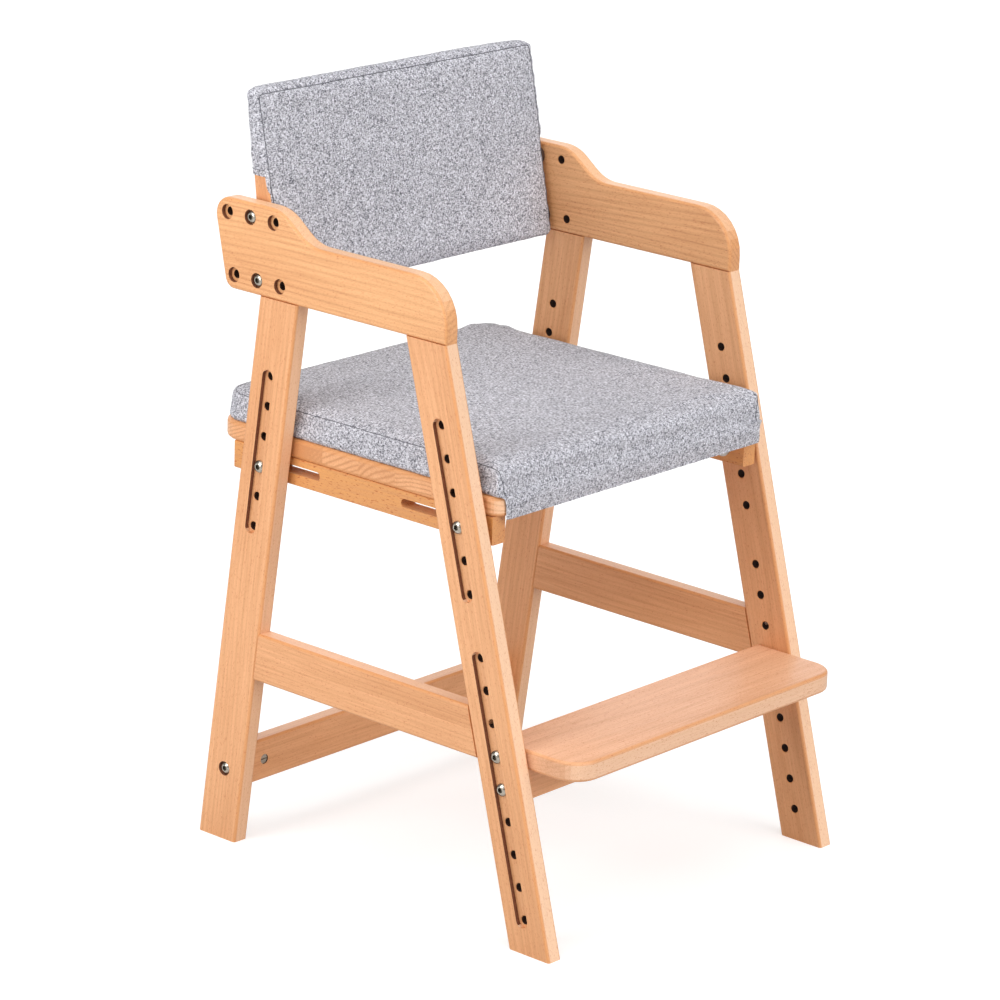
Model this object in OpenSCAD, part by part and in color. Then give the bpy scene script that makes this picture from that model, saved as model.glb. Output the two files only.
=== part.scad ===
// Baby high chair in beech: two A-shaped side frames, a height-adjustable seat and footrest on
// rows of holes, and a padded back that bolts between the armrests.
// Millimetres. +Z is up, the chair faces -Y, and the origin is on the floor, under the middle of the
// chair's overall width and depth.
// Right and left are the sitter's own: right is -X.

/* [Side frames] */
// Width over the two side frames
overall_w = 440; // [430:2:470]
// Depth over the feet
base_depth = 473; // [468:1:480]
// Thickness of the boards that the frames are cut from
board_t = 18; // [17:0.5:20]
// Radius of the rounded long edges
edge_r = 3; // [2:0.5:3.5]
// Width of a rear leg, measured level
rear_leg_w = 51; // [48:0.5:54]
// Width of a front leg, measured level
front_leg_w = 51.5; // [48:0.5:54]
// Lean of the rear legs from upright
rear_lean = 7.25; // [6.5:0.25:8]
// Lean of the front legs from upright
front_lean = 15.2; // [14.6:0.2:15.8]
// Underside of the side rails
side_rail_z = 180.5; // [170:0.5:190]
// Height of the side rails
side_rail_h = 50; // [44:1:56]
// Centre height of the rear crossbar
crossbar_z = 76; // [70:1:90]
// Height of the rear crossbar
crossbar_h = 44; // [40:1:48]

/* [Armrests] */
// Underside of the armrests, where the legs end
arm_z = 575; // [573:0.5:578]
// Top of the tall rear part
arm_top = 665; // [663:0.5:668]
// Top of the low front part
arm_low_top = 636; // [634:0.5:640]
// Radius of the round front end
arm_nose_r = 46; // [40:1:50]
// Radius of both bends of the step
arm_step_r = 45; // [35:1:48]

/* [Rows of holes] */
// Diameter of every bolt hole
hole_d = 8.6; // [8.4:0.1:9]
// Width of the long grooves that take the bolt heads
groove_w = 14; // [13.6:0.2:15]
// Chamfer on the rims of the bolt holes
chamfer = 0.7; // [0.3:0.1:1]
// Depth of the grooves and of the round recesses
recess = 4.5; // [4.2:0.1:5]
// Holes in each seat row
seat_holes = 6; // [4:1:6]
// Level distance between the seat holes
seat_pitch = 31.5; // [31:0.5:32]
// Height of the top seat hole
seat_row_top = 496.5; // [495:0.5:498]
// Seat hole in use, counted from the top hole as 0
seat_hole_used = 3; // [2:1:3]
// Holes in each footrest row
foot_holes = 9; // [7:1:9]
// Level distance between the footrest holes
foot_pitch = 30.9; // [30.5:0.1:31.2]
// Height of the top footrest hole
foot_row_top = 280; // [278:0.5:282]
// Upper footrest hole in use, counted from the top hole as 0
foot_hole_used = 3; // [2:1:4]

/* [Seat] */
// Thickness of the seat board and the footrest board
plank_t = 20; // [18:0.5:22]
// Width of the seat board
seat_w = 400; // [396:1:401]
// Front edge of the seat board
seat_front = -132; // [-138:0.5:-128]
// Rear edge of the seat board
seat_rear = 244; // [238:0.5:248]
// Height of the rails under the seat board
seat_rail_h = 28; // [26:1:30]
// Length of the slots in the seat rails
slot_l = 102; // [96:1:106]
// Thickness of the seat cushion
cushion_t = 32; // [28:1:44]

/* [Back] */
// Underside of the back posts
back_z = 574; // [572:0.5:578]
// Top of the back posts
back_top = 764; // [740:1:766]
// Height at which the hood of the back cover ends
hood_z = 687; // [680:1:700]

/* [Footrest] */
// Depth of the footrest board
footrest_d = 104; // [100:1:110]
// Height of the rail under the footrest board
foot_rail_h = 37; // [34:1:38]
// Radius of the footrest's front corners
footrest_corner_r = 28; // [20:1:34]

/* [Hidden] */
$fn = 48;

beech = [0.88, 0.68, 0.48];
beech_pale = [0.92, 0.76, 0.58];
steel = [0.78, 0.78, 0.8];
nylon = [0.9, 0.9, 0.88];
cloth_grey = [0.72, 0.72, 0.75];
foam_white = [0.93, 0.92, 0.86];

gap = 0.4;
arc_steps = 8;
edge_steps = 3;
inner_x = overall_w / 2 - board_t;
outer_x = overall_w / 2;

// The feet's middle in Y, which leaves the footrest and the seat board equally far from the origin
feet_mid = 2.4;

// bolts, screws and dowels
shank_d = 7.8;
thread_d = 8;
head_d = 13;
head_h = 4;
recess_d = 15;
dowel_d = 8;
dowel_l = 40;
dowel_fit = 0.1;
barrel_d = 10;
barrel_l = 15;
barrel_fit = 0.3;
screw_d = 4;
screw_head_d = 8;

// rows of holes
row_back_rear = 2.5;
row_back_front = 1.5;
seat_bolt_z = seat_row_top - seat_hole_used * seat_pitch;
foot_bolt_zs = [for (i = [0, 1]) foot_row_top - (foot_hole_used + i) * foot_pitch];

// seat rails
rail_t = 18;
rail_x = 180.5;
rail_front = -125;
rail_rear = 217.5;
rail_mid = (rail_front + rail_rear) / 2;
slot_from_mid = 105;
slot_h = hole_d;
rail_top = seat_bolt_z + 12;
rail_bottom = rail_top - seat_rail_h;
plank_top = rail_top + plank_t;
seat_spacer_t = inner_x - rail_x - rail_t;
seat_corner_front = 16;
seat_corner_rear = 30;
cover_t = 1.6;
flap_t = 3;
flap_z = rail_top - 3;

// armrest holes: two rows of three, each column parallel to the back posts
arm_hole_zs = [650.5, 589.5];
arm_hole_y = 180;
arm_hole_pitch = 31;
arm_hole_lean = 0.168;

// back posts
post_t = 18;
post_x = 180;
post_foot_y = 156.8;
post_foot_w = 26.4;
post_front_lean = 0.205;
post_rear_lean = 0.132;
panel_t = 10;
panel_inset = 5;
back_cover_lean = 0.2143;
back_cover_y = 152;
back_cover_top = 771;
back_spacer_t = inner_x - post_x - post_t;

// footrest
footrest_w = 2 * inner_x - 1;
foot_rail_t = 18;

// ---- places ----

function rear_leg_y(z) = feet_mid + base_depth / 2 - rear_leg_w / 2 - z * tan(rear_lean);
function front_leg_y(z) = feet_mid - base_depth / 2 + front_leg_w / 2 + z * tan(front_lean);
function seat_row_z(i) = seat_row_top - i * seat_pitch;
function foot_row_z(i) = foot_row_top - i * foot_pitch;
function rear_hole(z) = [rear_leg_y(z) + row_back_rear, z];
function front_hole(z) = [front_leg_y(z) + row_back_front, z];
function arm_hole(row, col) =
    [arm_hole_y + col * arm_hole_pitch + (arm_hole_zs[row] - arm_hole_zs[0]) * arm_hole_lean, arm_hole_zs[row]];
function post_front(z) = post_foot_y + (z - back_z) * post_front_lean;
function post_rear(z) = post_foot_y + post_foot_w + (z - back_z) * post_rear_lean;
function cover_front(z) = back_cover_y + (z - back_z) * back_cover_lean;

// ---- shapes ----

function unit(v) = v / norm(v);
function spun(v, a) = [v.x * cos(a) - v.y * sin(a), v.x * sin(a) + v.y * cos(a)];

// The points of a corner at b, between a and c, rounded to radius r
function corner(a, b, c, r) =
    r == 0 ? [b] :
    let (
        u = unit(a - b),
        v = unit(c - b),
        half = acos(u * v) / 2,
        centre = b + unit(u + v) * r / sin(half),
        start = b + u * r / tan(half) - centre,
        turn = sign(cross(b - a, c - b)) * (180 - 2 * half)
    )
    [for (k = [0:arc_steps]) centre + spun(start, turn * k / arc_steps)];

// A closed outline through corners, each [x, y, radius], counterclockwise
function outline(corners) =
    let (n = len(corners), p = [for (c = corners) [c.x, c.y]])
    [for (i = [0:n - 1]) each corner(p[(i + n - 1) % n], p[i], p[(i + 1) % n], corners[i].z)];

// The outline moved inward by d, each side staying parallel
function inset(points, d) =
    let (n = len(points))
    [for (i = [0:n - 1])
        let (
            a = unit(points[i] - points[(i + n - 1) % n]),
            b = unit(points[(i + 1) % n] - points[i]),
            m = unit([-a.y - b.y, a.x + b.x])
        )
        points[i] + m * d / (m * [-a.y, a.x])];

// The mean of a list of points
function middle_of(points) = [for (p = points) 1] * points / len(points);

// A board of thickness t over an outline, with its bottom and top edges rounded. The middle is a point
// from which the whole outline can be seen, so that each face can be divided into triangles round it.
module rounded_board(points, t, r_low, r_high, middle) {
    n = len(points);
    steps = [for (k = [0:edge_steps]) 90 * k / edge_steps];
    low = [for (a = steps) [r_low * (1 - sin(a)), r_low * (1 - cos(a))]];
    high = [for (a = steps) [r_high * (1 - sin(90 - a)), t - r_high * (1 - cos(90 - a))]];
    rings = concat(low, high);
    last = len(rings) - 1;
    vertices = [
        for (ring = rings) each [for (p = inset(points, ring[0])) [p.x, p.y, ring[1]]],
        [middle.x, middle.y, 0],
        [middle.x, middle.y, t]
    ];
    sides = [
        for (k = [0:last - 1], j = [0:n - 1])
            [k * n + j, (k + 1) * n + j, (k + 1) * n + (j + 1) % n, k * n + (j + 1) % n]
    ];
    bottom = [for (j = [0:n - 1]) [j, (j + 1) % n, (last + 1) * n]];
    top = [for (j = [0:n - 1]) [last * n + (j + 1) % n, last * n + j, (last + 1) * n + 1]];
    polyhedron(vertices, concat(bottom, top, sides));
}

// The same board standing on edge: the outline is in Y and Z, and the thickness runs from x along +X
module side_board(points, x, t, r, middle) {
    translate([x, 0, 0]) rotate([90, 0, 90]) rounded_board(points, t, r, r, middle);
}

module rounded_section(w, h, r) {
    square([w - 2 * r, h], center = true);
    square([w, h - 2 * r], center = true);
    for (sx = [-1, 1], sy = [-1, 1])
        translate([sx * (w / 2 - r), sy * (h / 2 - r)]) circle(r);
}

module both_sides() {
    children();
    mirror([1, 0, 0]) children();
}

// A rod along X from x0 to x1 at [y, z]
module rod_x(at, x0, x1, d) {
    translate([x0, at[0], at[1]]) rotate([0, 90, 0]) cylinder(d = d, h = x1 - x0);
}

module rod_z(x, y, z0, z1, d) {
    translate([x, y, z0]) cylinder(d = d, h = z1 - z0);
}

module rod_y(x, z, y0, y1, d) {
    translate([x, y0, z]) rotate([-90, 0, 0]) cylinder(d = d, h = y1 - y0);
}

// A bolt hole through the left side frame, with its rims chamfered on the inner face and in the groove
module bolt_hole(at, in_groove) {
    rim_d = hole_d + 2 * chamfer;
    rod_x(at, inner_x - 1, outer_x + 1, hole_d);
    translate([inner_x - 0.1, at[0], at[1]]) rotate([0, 90, 0])
        cylinder(d1 = rim_d + 0.2, d2 = hole_d, h = chamfer + 0.1);
    if (in_groove) translate([outer_x - recess, at[0], at[1]]) rotate([0, -90, 0])
        cylinder(d1 = rim_d, d2 = hole_d, h = chamfer);
}

// A round-ended groove in the left side's outer face, from a to b in Y and Z
module groove(a, b) {
    length = norm(b - a);
    tilt = atan2(b[0] - a[0], b[1] - a[1]);
    for (p = [a, b]) rod_x(p, outer_x - recess, outer_x + 1, groove_w);
    translate([outer_x - recess, a[0], a[1]]) rotate([-tilt, 0, 0])
        translate([0, -groove_w / 2, 0]) cube([recess + 1, groove_w, length]);
}

// A button-headed bolt on the left side: its head sits in a recess and its shank points to -X
module bolt(at, shank_l) {
    seat_at = outer_x - recess;
    rod_x(at, seat_at - shank_l, seat_at, shank_d);
    translate([seat_at, at[0], at[1]]) rotate([0, 90, 0]) difference() {
        rotate_extrude() polygon([
            [0, 0], [head_d / 2, 0],
            for (k = [0:5]) [head_d / 2 * cos(k * 11), 1 + (head_h - 1) * sin(k * 11) / sin(55)],
            [0, head_h]
        ]);
        translate([0, 0, head_h - 2.4]) cylinder(d = 5.8, h = 3, $fn = 6);
    }
}

// ---- side frames ----

arm_front = front_leg_y(arm_z) - front_leg_w / 2;
arm_outline = outline([
    [arm_front, arm_z, 0],
    [211.5, arm_z, 12],
    [232, arm_top, 18],
    [139.5, arm_top, arm_step_r],
    [101.5, arm_low_top, arm_step_r],
    [arm_front - 0.5, arm_low_top, arm_nose_r]
]);

// A point that sees the whole outline, in spite of its step
arm_middle = [100, (arm_z + arm_low_top) / 2 - 5];

module frame_dowel_places() {
    for (side = [-1, 1]) {
        place_dowel([rear_leg_y(arm_z) + side * 14, arm_z], [tan(-rear_lean), 1]);
        place_dowel([front_leg_y(arm_z) + side * 14, arm_z], [tan(front_lean), 1]);
        rail_dowel_z = side_rail_z + side_rail_h / 2 + side * 14;
        place_dowel([rear_leg_y(rail_dowel_z) - rear_leg_w / 2, rail_dowel_z], [1, 0]);
        place_dowel([front_leg_y(rail_dowel_z) + front_leg_w / 2, rail_dowel_z], [1, 0]);
    }
}

// Puts a dowel's middle at [y, z] on the left side, with its length along direction
module place_dowel(at, direction) {
    translate([inner_x + board_t / 2, at[0], at[1]])
        rotate([-atan2(direction[0], direction[1]), 0, 0])
            cylinder(d = $dowel_d, h = $dowel_l, center = true);
}

module dowel_holes() {
    $dowel_d = dowel_d + dowel_fit;
    $dowel_l = dowel_l + 2;
    frame_dowel_places();
}

module armrest() {
    color(beech) difference() {
        side_board(arm_outline, inner_x, board_t, edge_r, arm_middle);
        for (row = [0, 1], col = [-1, 0, 1]) {
            bolt_hole(arm_hole(row, col), false);
            rod_x(arm_hole(row, col), outer_x - recess, outer_x + 1, recess_d);
        }
        dowel_holes();
    }
}

// A leg that leans along +Y by the signed angle, its foot's middle at y
module leg_blank(y, lean, level_w) {
    intersection() {
        translate([inner_x + board_t / 2, y, 0]) rotate([-lean, 0, 0]) translate([0, 0, -40])
            linear_extrude(arm_z + 120) rounded_section(board_t, level_w * cos(lean), edge_r);
        translate([inner_x - 1, -base_depth, 0]) cube([board_t + 2, 2 * base_depth, arm_z]);
    }
}

module rear_leg() {
    color(beech) difference() {
        leg_blank(rear_leg_y(0), -rear_lean, rear_leg_w);
        groove(rear_hole(seat_row_z(seat_holes - 1)), rear_hole(seat_row_top));
        for (i = [0:seat_holes - 1])
            bolt_hole(rear_hole(seat_row_z(i)), true);
        rod_x(crossbar_at, inner_x - 1, outer_x + 1, hole_d);
        rod_x(crossbar_at, outer_x - recess, outer_x + 1, recess_d);
        dowel_holes();
    }
}

module front_leg() {
    color(beech) difference() {
        leg_blank(front_leg_y(0), front_lean, front_leg_w);
        groove(front_hole(seat_row_z(seat_holes - 1)), front_hole(seat_row_top));
        groove(front_hole(foot_row_z(foot_holes - 1)), front_hole(foot_row_top));
        for (i = [0:seat_holes - 1])
            bolt_hole(front_hole(seat_row_z(i)), true);
        for (i = [0:foot_holes - 1])
            bolt_hole(front_hole(foot_row_z(i)), true);
        dowel_holes();
    }
}

// The rail between a side frame's legs, its ends cut to their lean
module side_rail() {
    top = side_rail_z + side_rail_h;
    color(beech) difference() {
        intersection() {
            translate([inner_x + board_t / 2, 0, side_rail_z + side_rail_h / 2]) rotate([-90, 0, 0])
                linear_extrude(base_depth, center = true)
                    rounded_section(board_t, side_rail_h, edge_r);
            translate([inner_x - 1, 0, 0]) rotate([90, 0, 90]) linear_extrude(board_t + 2) polygon([
                for (z = [side_rail_z - 1, top + 1]) [front_leg_y(z) + front_leg_w / 2, z],
                for (z = [top + 1, side_rail_z - 1]) [rear_leg_y(z) - rear_leg_w / 2, z]
            ]);
        }
        dowel_holes();
    }
}

module frame_dowels() {
    $dowel_d = dowel_d;
    $dowel_l = dowel_l;
    color(beech_pale) both_sides() frame_dowel_places();
}

// ---- rear crossbar ----

crossbar_at = [rear_leg_y(crossbar_z), crossbar_z];
crossbar_bolt_l = board_t - recess + 42;
crossbar_nut_x = inner_x - 30.5;
crossbar_front = rear_leg_y(crossbar_z) - board_t / 2;

module rear_crossbar() {
    color(beech) difference() {
        translate([0, crossbar_at[0], crossbar_z]) rotate([90, 0, 90])
            linear_extrude(2 * inner_x, center = true) rounded_section(board_t, crossbar_h, edge_r);
        both_sides() {
            rod_x(crossbar_at, inner_x - 46, inner_x + 1, hole_d);
            rod_y(crossbar_nut_x, crossbar_z, crossbar_front - 1, crossbar_front + 16, barrel_d + barrel_fit);
        }
    }
}

module crossbar_bolts() {
    color(steel) both_sides() bolt(crossbar_at, crossbar_bolt_l);
}

module crossbar_barrel_nuts() {
    color(steel) both_sides() difference() {
        rod_y(crossbar_nut_x, crossbar_z, crossbar_front + 0.8, crossbar_front + 0.8 + barrel_l, barrel_d);
        rod_x(crossbar_at, crossbar_nut_x - 8, crossbar_nut_x + 8, thread_d);
        translate([crossbar_nut_x - 4, crossbar_front, crossbar_z - 0.6]) cube([8, 2, 1.2]);
    }
}

// ---- seat ----

module seat_screw_places() {
    for (y = [rail_front + 9, rail_mid - 25, rail_mid + 25, rail_rear - 9])
        translate([rail_x + rail_t / 2, y, rail_bottom]) children();
}

module seat_board() {
    plan = outline([
        [-seat_w / 2, seat_front, seat_corner_front], [seat_w / 2, seat_front, seat_corner_front],
        [seat_w / 2, seat_rear, seat_corner_rear], [-seat_w / 2, seat_rear, seat_corner_rear]
    ]);
    color(beech) difference() {
        translate([0, 0, rail_top]) rounded_board(plan, plank_t, 4, 4, middle_of(plan));
        both_sides() seat_screw_places() cylinder(d = screw_d + 0.1, h = seat_rail_h + 14);
    }
}

// A rail under the seat board; its two slots slide on the seat bolts
module seat_rail() {
    color(beech) difference() {
        translate([rail_x + rail_t / 2, rail_front, rail_bottom + seat_rail_h / 2]) rotate([-90, 0, 0])
            linear_extrude(rail_rear - rail_front) rounded_section(rail_t, seat_rail_h, 1.5);
        for (side = [-1, 1]) {
            for (end = [-1, 1]) {
                end_y = rail_mid + side * slot_from_mid + end * (slot_l - slot_h) / 2;
                rod_x([end_y, seat_bolt_z], rail_x - 1, rail_x + rail_t + 1, slot_h);
            }
            translate([rail_x - 1, rail_mid + side * slot_from_mid - (slot_l - slot_h) / 2, seat_bolt_z - slot_h / 2])
                cube([rail_t + 2, slot_l - slot_h, slot_h]);
        }
        seat_screw_places() {
            translate([0, 0, -1]) cylinder(d = screw_d + 0.5, h = seat_rail_h + 2);
            translate([0, 0, -1]) cylinder(d = screw_head_d + 1, h = 5);
        }
    }
}

// Countersunk screws that come up through the seat rails into the board
module seat_screws() {
    color(steel) both_sides() seat_screw_places() {
        translate([0, 0, 1]) cylinder(d1 = screw_head_d, d2 = screw_d, h = 3);
        translate([0, 0, 4]) cylinder(d = screw_d, h = seat_rail_h + 9);
    }
}

module cushion_block(inset_by, z0, z1, top_r) {
    half_w = seat_w / 2 - inset_by;
    front = seat_front - flap_t - gap + inset_by;
    rear = seat_rear - 0.5 - inset_by;
    plan = outline([
        [-half_w, front, 12], [half_w, front, 12],
        [half_w, rear, seat_corner_rear - inset_by], [-half_w, rear, seat_corner_rear - inset_by]
    ]);
    translate([0, 0, z0]) rounded_board(plan, z1 - z0, 0.2, top_r, middle_of(plan));
}

module seat_foam() {
    color(foam_white)
        cushion_block(flap_t + 2 * gap, plank_top + gap, plank_top + cushion_t - cover_t - gap, 5);
}

// The slip cover over the foam: open below, with a flap that hangs over the board's front edge
module seat_cover() {
    flap_w = seat_w - seat_corner_front;
    color(cloth_grey) {
        difference() {
            cushion_block(0, plank_top + gap, plank_top + cushion_t, 7);
            cushion_block(flap_t + gap, plank_top - 1, plank_top + cushion_t - cover_t, 5);
        }
        translate([-flap_w / 2, seat_front - flap_t - gap, flap_z])
            cube([flap_w, flap_t, plank_top + 4 - flap_z]);
    }
}

seat_bolt_places = [rear_hole(seat_bolt_z), front_hole(seat_bolt_z)];
washer_t = 1.6;
nut_t = 6.5;
seat_washer_x = rail_x - 0.2 - washer_t;

module seat_bolts() {
    shank_l = outer_x - recess - seat_washer_x + nut_t;
    color(steel) both_sides() for (at = seat_bolt_places) bolt(at, shank_l);
}

module seat_washers() {
    color(steel) both_sides() for (at = seat_bolt_places) difference() {
        rod_x(at, seat_washer_x, seat_washer_x + washer_t, 20);
        rod_x(at, seat_washer_x - 1, seat_washer_x + washer_t + 1, thread_d + 0.4);
    }
}

module seat_nuts() {
    color(steel) both_sides() for (at = seat_bolt_places) difference() {
        translate([seat_washer_x - nut_t, at[0], at[1]]) rotate([0, 90, 0])
            cylinder(d = 15, h = nut_t, $fn = 6);
        rod_x(at, seat_washer_x - nut_t - 1, seat_washer_x + 1, thread_d);
    }
}

// Rings between the legs and the seat rails
module seat_spacers() {
    color(nylon) both_sides() for (at = seat_bolt_places) difference() {
        rod_x(at, inner_x - seat_spacer_t + 0.2, inner_x, 18);
        rod_x(at, inner_x - seat_spacer_t, inner_x + 1, hole_d);
    }
}

// ---- back ----

back_mid_lean = atan((post_front_lean + post_rear_lean) / 2);
back_screw_zs = [700, 745];

module post_blank() {
    post_outline = outline([
        [post_front(back_z), back_z, 4], [post_rear(back_z), back_z, 4],
        [post_rear(back_top), back_top, 4], [post_front(back_top), back_top, 4]
    ]);
    side_board(post_outline, post_x, post_t, 2, middle_of(post_outline));
}

module back_post() {
    color(beech) difference() {
        post_blank();
        for (row = [0, 1]) {
            rod_x(arm_hole(row, 0), post_x + 2, post_x + post_t + 1, 12.2);
        }
        for (z = back_screw_zs) {
            rod_x([panel_y(z), z], post_x - 1, post_x + post_t + 1, screw_d + 0.5);
            rod_x([panel_y(z), z], post_x + post_t - 4, post_x + post_t + 1, screw_head_d + 1);
        }
    }
}

function panel_y(z) = post_front(z) + panel_inset + panel_t / 2;

// A flat panel that fills the space between the posts
module back_panel() {
    low = back_z + 4;
    high = back_top - 4;
    color(beech_pale) difference() {
        translate([-post_x + 0.2, 0, 0]) rotate([90, 0, 90]) linear_extrude(2 * post_x - 0.4) polygon([
            [panel_y(low) - panel_t / 2, low], [panel_y(low) + panel_t / 2, low],
            [panel_y(high) + panel_t / 2 - 3, high], [panel_y(high) - panel_t / 2, high]
        ]);
        both_sides() for (z = back_screw_zs) rod_x([panel_y(z), z], post_x - 26, post_x + 1, screw_d + 0.1);
    }
}

module back_screws() {
    color(steel) both_sides() for (z = back_screw_zs) {
        rod_x([panel_y(z), z], post_x - 22, post_x + post_t - 3.5, screw_d);
        translate([post_x + post_t - 3.5, panel_y(z), z]) rotate([0, 90, 0])
            cylinder(d1 = screw_d, d2 = screw_head_d, h = 3);
    }
}

// A pad that fills the recess in front of the panel
module back_foam() {
    low = back_z + 6;
    high = back_top - 2;
    color(foam_white) translate([-post_x + 1, 0, 0]) rotate([90, 0, 90]) linear_extrude(2 * post_x - 2) polygon([
        [post_front(low) + gap, low], [post_front(low) + panel_inset - gap, low],
        [post_front(high) + panel_inset - gap, high], [post_front(high) + gap, high]
    ]);
}

// The slip cover of the back: a front panel with a hood that closes over the top of the posts
module back_cover() {
    hood_w = 2 * (post_x + post_t + 1.8);
    hole_w = 2 * (post_x + post_t + 0.3);
    panel_w = 2 * (post_x + post_t - 0.5);
    front_low = back_z - 3;
    front_panel = outline([
        [cover_front(front_low), front_low, 1], [post_front(front_low) - gap, front_low, 1],
        [post_front(back_top) - gap, back_top, 0], [cover_front(back_cover_top), back_cover_top, 0]
    ]);
    hood = outline([
        [cover_front(hood_z), hood_z, 0], [post_rear(hood_z) + 2.5, hood_z, 0],
        [post_rear(back_top) + 2.5, back_cover_top, 7], [cover_front(back_cover_top), back_cover_top, 5]
    ]);
    color(cloth_grey) {
        rotate([90, 0, 90]) linear_extrude(panel_w, center = true) polygon(front_panel);
        difference() {
            side_board(hood, -hood_w / 2, hood_w, 1.5, middle_of(hood));
            rotate([90, 0, 90]) linear_extrude(hole_w, center = true) polygon([
                [post_front(hood_z - 1) - gap, hood_z - 1], [post_rear(hood_z - 1) + gap, hood_z - 1],
                [post_rear(back_top) + gap, back_top + gap], [post_front(back_top) - gap, back_top + gap]
            ]);
        }
    }
}

module back_bolts() {
    shank_l = board_t - recess + back_spacer_t + 15;
    color(steel) both_sides() for (row = [0, 1]) bolt(arm_hole(row, 0), shank_l);
}

// Threaded sleeves pressed into the posts
module back_inserts() {
    color(steel) both_sides() for (row = [0, 1]) difference() {
        rod_x(arm_hole(row, 0), post_x + 2.4, post_x + post_t, 12);
        rod_x(arm_hole(row, 0), post_x, post_x + post_t + 1, thread_d);
    }
}

module back_spacers() {
    color(nylon) both_sides() for (row = [0, 1]) difference() {
        rod_x(arm_hole(row, 0), inner_x - back_spacer_t, inner_x, 18);
        rod_x(arm_hole(row, 0), inner_x - back_spacer_t - 1, inner_x + 1, hole_d);
    }
}

// ---- footrest ----

foot_bolt_places = [for (z = foot_bolt_zs) front_hole(z)];
footrest_rear = foot_bolt_places[0][0] + 16;
foot_rail_y = foot_bolt_places[1][0];
footrest_low = foot_bolt_zs[0] - plank_t / 2;
foot_bolt_l = board_t - recess + 36;
foot_nut_x = inner_x - 28;
foot_dowel_xs = [-120, 0, 120];

module footrest_board() {
    half_w = footrest_w / 2;
    plan = outline([
        [-half_w, footrest_rear - footrest_d, footrest_corner_r],
        [half_w, footrest_rear - footrest_d, footrest_corner_r],
        [half_w, footrest_rear, 0], [-half_w, footrest_rear, 0]
    ]);
    color(beech) difference() {
        translate([0, 0, footrest_low]) rounded_board(plan, plank_t, edge_r, edge_r, middle_of(plan));
        both_sides() {
            rod_x(foot_bolt_places[0], inner_x - 40, inner_x, hole_d);
            rod_z(foot_nut_x, foot_bolt_places[0][0], footrest_low - 1, footrest_low + 17, barrel_d + barrel_fit);
        }
        for (x = foot_dowel_xs)
            rod_z(x, foot_rail_y, footrest_low - 1, footrest_low + 13, dowel_d + dowel_fit);
    }
}

module footrest_rail() {
    color(beech) difference() {
        translate([0, foot_rail_y, footrest_low - foot_rail_h / 2]) rotate([90, 0, 90])
            linear_extrude(footrest_w, center = true) rounded_section(foot_rail_t, foot_rail_h, 2);
        both_sides() {
            rod_x(foot_bolt_places[1], inner_x - 40, inner_x, hole_d);
            rod_y(foot_nut_x, foot_bolt_zs[1], foot_rail_y - 7, foot_rail_y + foot_rail_t, barrel_d + barrel_fit);
        }
        for (x = foot_dowel_xs)
            rod_z(x, foot_rail_y, footrest_low - 17, footrest_low + 1, dowel_d + dowel_fit);
    }
}

module footrest_dowels() {
    color(beech_pale) for (x = foot_dowel_xs)
        rod_z(x, foot_rail_y, footrest_low - 15, footrest_low + 12, dowel_d);
}

module footrest_bolts() {
    color(steel) both_sides() for (at = foot_bolt_places) bolt(at, foot_bolt_l);
}

module footrest_barrel_nuts() {
    color(steel) both_sides() {
        difference() {
            rod_z(foot_nut_x, foot_bolt_places[0][0], footrest_low + 1, footrest_low + 1 + barrel_l, barrel_d);
            rod_x(foot_bolt_places[0], foot_nut_x - 8, foot_nut_x + 8, thread_d);
        }
        difference() {
            rod_y(foot_nut_x, foot_bolt_zs[1], foot_rail_y - 6.5, foot_rail_y + foot_rail_t / 2 - 0.5, barrel_d);
            rod_x(foot_bolt_places[1], foot_nut_x - 8, foot_nut_x + 8, thread_d);
        }
    }
}

mirror([1, 0, 0]) armrest();  // right_armrest
armrest();  // left_armrest
mirror([1, 0, 0]) rear_leg();  // right_rear_leg
rear_leg();  // left_rear_leg
mirror([1, 0, 0]) front_leg();  // right_front_leg
front_leg();  // left_front_leg
mirror([1, 0, 0]) side_rail();  // right_side_rail
side_rail();  // left_side_rail
rear_crossbar();
frame_dowels();
crossbar_bolts();
crossbar_barrel_nuts();
seat_board();
mirror([1, 0, 0]) seat_rail();  // right_seat_rail
seat_rail();  // left_seat_rail
seat_screws();
seat_foam();
seat_cover();
seat_bolts();
seat_washers();
seat_nuts();
seat_spacers();
mirror([1, 0, 0]) back_post();  // right_back_post
back_post();  // left_back_post
back_panel();
back_foam();
back_cover();
back_screws();
back_bolts();
back_inserts();
back_spacers();
footrest_board();
footrest_rail();
footrest_dowels();
footrest_bolts();
footrest_barrel_nuts();
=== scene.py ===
# Baby high chair: lacquered beech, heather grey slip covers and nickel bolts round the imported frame.
import math
import bmesh
import bpy
import numpy as np
from mathutils import Matrix, Vector, noise
from mathutils.bvhtree import BVHTree


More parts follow.
